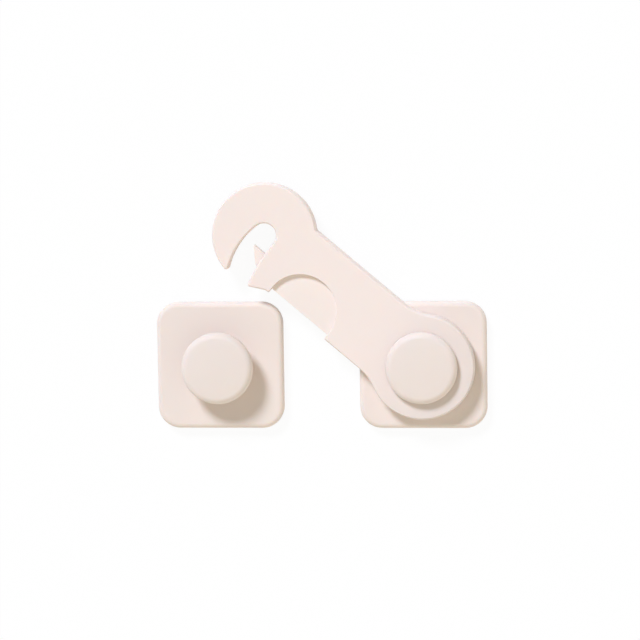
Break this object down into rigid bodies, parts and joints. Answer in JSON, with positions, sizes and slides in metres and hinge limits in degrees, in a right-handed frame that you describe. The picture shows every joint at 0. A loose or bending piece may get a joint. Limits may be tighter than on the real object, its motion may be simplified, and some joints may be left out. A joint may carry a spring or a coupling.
{
  "type": "cabinet safety lock",
  "caption": "Stick-on child safety lock: a pivoting hook arm with a sprung thumb slider that latches over a capped post.",
  "frame": {"origin": "middle of the pivot base's sticking face", "axes": "+X from the catch base to the pivot base, +Y towards the side on which the arm stands open, +Z out of the surface that the bases stick to"},
  "size_m": [0.104, 0.0779, 0.013],
  "materials": {
    "base_plastic": "satin moulded ABS, warm cream",
    "cap_plastic": "satin moulded ABS, warm cream",
    "arm_plastic": "satin moulded ABS, warm cream",
    "cover_plastic": "fine-grained moulded ABS, warm cream",
    "slider_plastic": "satin moulded acetal, warm cream",
    "foam_tape": "white double-sided foam tape",
    "screw_steel": "zinc-plated self-tapping screws",
    "spring_steel": "drawn spring wire"
  },
  "bodies": {
    "bases": {"pivot_base": "base_plastic", "pivot_cap": "cap_plastic", "pivot_cap_screw": "screw_steel", "pivot_adhesive_pad": "foam_tape", "catch_base": "base_plastic", "catch_cap": "cap_plastic", "catch_cap_screw": "screw_steel", "catch_adhesive_pad": "foam_tape"},
    "arm": {"arm_shell": "arm_plastic", "arm_cover": "cover_plastic", "arm_cover_screws": "screw_steel", "latch_spring": "spring_steel"},
    "latch": {"latch_slider": "slider_plastic"}
  },
  "joints": [
    {"name": "arm_swing", "type": "hinge", "parent": "bases", "child": "arm", "pos_m": [0, 0, 0], "axis": [0, 0, 1], "range_deg": [-300, 40.4]},
    {"name": "latch_slide", "type": "slide", "parent": "arm", "child": "latch", "axis": [0.7615, -0.6481, 0], "range_m": [0, 0.005], "stiffness_N_per_m": 830, "springref_m": -0.002, "deforming": ["latch_spring"]}
  ]
}
